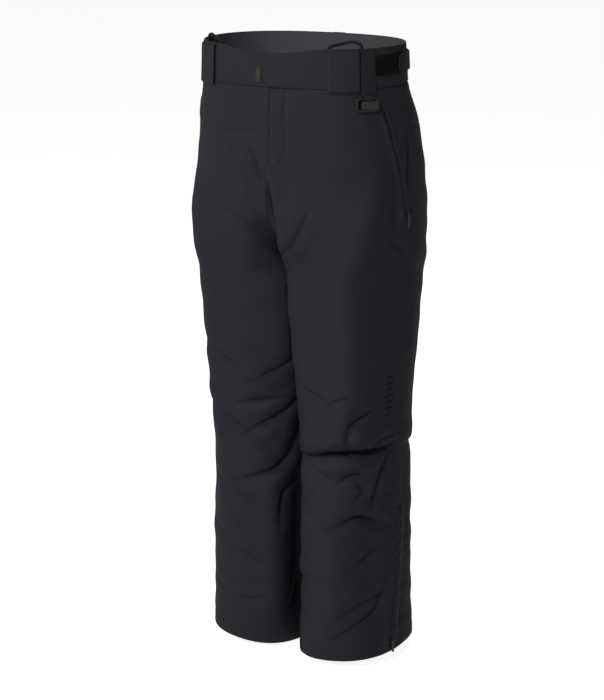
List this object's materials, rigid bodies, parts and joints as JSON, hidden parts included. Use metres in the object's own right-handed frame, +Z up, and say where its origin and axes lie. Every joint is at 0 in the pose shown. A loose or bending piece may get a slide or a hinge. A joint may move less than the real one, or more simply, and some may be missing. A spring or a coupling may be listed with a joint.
{
  "type": "ski pants",
  "caption": "Insulated ski pants with a fold-over snap and zip closure, side waist adjusters, hand-pocket and ankle zips, lift-pass ring and inner gaiters.",
  "frame": {"origin": "centre of the waist opening, level with the middle of its rim", "axes": "+Z up from the hems to the waist, -Y the way the wearer faces, +X the wearer's left"},
  "size_m": [0.3914, 0.2841, 1.0475],
  "materials": {
    "shell": "dark charcoal waterproof shell, matt",
    "insulation": "quilted polyester fill",
    "lining": "brushed taffeta lining",
    "webbing": "black woven webbing",
    "hook_loop": "hook and loop pile",
    "scuff": "coarse reinforced weave",
    "zip_tape": "woven zip tape",
    "zip_plastic": "moulded zip teeth and sliders",
    "dark_metal": "black painted zinc",
    "olive": "olive woven and moulded trim",
    "mark": "tone on tone transfer"
  },
  "bodies": {
    "pants": {"adjuster_patches": "hook_loop", "ankle_gusset_left": "lining", "ankle_gusset_right": "lining", "ankle_zip_tapes": "zip_tape", "ankle_zip_teeth": "zip_plastic", "back_yoke": "shell", "belt_loop_back": "shell", "belt_loop_front_left": "shell", "belt_loop_front_right": "shell", "fly_underlap": "shell", "fly_zip_tapes": "zip_tape", "fly_zip_teeth": "zip_plastic", "gaiter_elastics": "webbing", "gaiter_left": "lining", "gaiter_right": "lining", "hem_bands": "shell", "insulation_left": "insulation", "insulation_right": "insulation", "leg_back_left": "shell", "leg_back_right": "shell", "leg_front_left": "shell", "leg_front_right": "shell", "lining_left": "lining", "lining_right": "lining", "pocket_bag_left": "lining", "pocket_bag_right": "lining", "pocket_zip_tapes": "zip_tape", "pocket_zip_teeth": "zip_plastic", "ring_strap": "shell", "scuff_guard_left": "scuff", "scuff_guard_right": "scuff", "side_mark": "mark", "snap_studs": "dark_metal", "snap_underlap": "shell", "suspender_loop_left": "webbing", "suspender_loop_right": "webbing", "waistband_facing": "lining", "waistband_left": "shell", "waistband_right": "shell"},
    "closure": {"closure_tab": "shell", "fly_flap": "shell", "snap_sockets": "dark_metal", "keeper_tab": "olive"},
    "fly_slider_body": {"fly_slider": "dark_metal", "fly_puller": "dark_metal"},
    "pocket_slider_body_left": {"pocket_slider_left": "dark_metal"},
    "pocket_puller_body_left": {"pocket_puller_left": "dark_metal"},
    "ankle_slider_body_left": {"ankle_slider_left": "dark_metal"},
    "ankle_puller_body_left": {"ankle_puller_left": "dark_metal"},
    "adjuster_body_left": {"adjuster_tab_left": "webbing", "adjuster_hooks_left": "hook_loop"},
    "pocket_slider_body_right": {"pocket_slider_right": "dark_metal"},
    "pocket_puller_body_right": {"pocket_puller_right": "dark_metal"},
    "ankle_slider_body_right": {"ankle_slider_right": "dark_metal"},
    "ankle_puller_body_right": {"ankle_puller_right": "dark_metal"},
    "adjuster_body_right": {"adjuster_tab_right": "webbing", "adjuster_hooks_right": "hook_loop"},
    "lift_ring_body": {"lift_ring": "dark_metal", "ring_plate": "olive"}
  },
  "joints": [
    {"name": "closure_fold", "type": "hinge", "parent": "pants", "child": "closure", "pos_m": [0.02403, -0.11386, -0.09693], "axis": [0.2469, 0.042, 0.9681], "range_deg": [0, 70]},
    {"name": "fly_slide", "type": "slide", "parent": "pants", "child": "fly_slider_body", "axis": [0, 0, -1], "range_m": [0, 0.088]},
    {"name": "pocket_zip_left", "type": "hinge", "parent": "pants", "child": "pocket_slider_body_left", "pos_m": [-0.48595, 0.11183, -0.21465], "axis": [-0.167, -0.9433, -0.2868], "range_deg": [0, 13.56]},
    {"name": "pocket_pull_left", "type": "hinge", "parent": "pocket_slider_body_left", "child": "pocket_puller_body_left", "pos_m": [0.19396, 0.00699, -0.26404], "axis": [-0.0809, -0.9967, -0.0032], "range_deg": [0, 100]},
    {"name": "ankle_zip_left", "type": "hinge", "parent": "pants", "child": "ankle_slider_body_left", "pos_m": [-1.35678, -2.80074, -0.50874], "axis": [0.88, -0.4687, 0.0766], "range_deg": [0, 3.77]},
    {"name": "ankle_pull_left", "type": "hinge", "parent": "ankle_slider_body_left", "child": "ankle_puller_body_left", "pos_m": [0.17968, -0.00067, -0.99722], "axis": [-0.1686, -0.9855, -0.0169], "range_deg": [0, 100]},
    {"name": "adjuster_peel_left", "type": "hinge", "parent": "pants", "child": "adjuster_body_left", "pos_m": [0.14475, 0.07844, -0.02606], "axis": [-0.0223, -0.091, 0.9956], "range_deg": [0, 90]},
    {"name": "pocket_zip_right", "type": "hinge", "parent": "pants", "child": "pocket_slider_body_right", "pos_m": [0.48595, 0.11183, -0.21465], "axis": [-0.167, 0.9433, 0.2868], "range_deg": [0, 13.56]},
    {"name": "pocket_pull_right", "type": "hinge", "parent": "pocket_slider_body_right", "child": "pocket_puller_body_right", "pos_m": [-0.19396, 0.00699, -0.26404], "axis": [-0.0809, 0.9967, 0.0032], "range_deg": [0, 100]},
    {"name": "ankle_zip_right", "type": "hinge", "parent": "pants", "child": "ankle_slider_body_right", "pos_m": [1.35678, -2.80074, -0.50874], "axis": [0.88, 0.4687, -0.0766], "range_deg": [0, 3.77]},
    {"name": "ankle_pull_right", "type": "hinge", "parent": "ankle_slider_body_right", "child": "ankle_puller_body_right", "pos_m": [-0.17968, -0.00067, -0.99722], "axis": [-0.1686, 0.9855, 0.0169], "range_deg": [0, 100]},
    {"name": "adjuster_peel_right", "type": "hinge", "parent": "pants", "child": "adjuster_body_right", "pos_m": [-0.14475, 0.07844, -0.02606], "axis": [-0.0223, 0.091, -0.9956], "range_deg": [0, 90]},
    {"name": "ring_swing", "type": "hinge", "parent": "pants", "child": "lift_ring_body", "pos_m": [0.15785, -0.06525, -0.07733], "axis": [-0.6244, -0.781, -0.0159], "range_deg": [0, 85]}
  ]
}
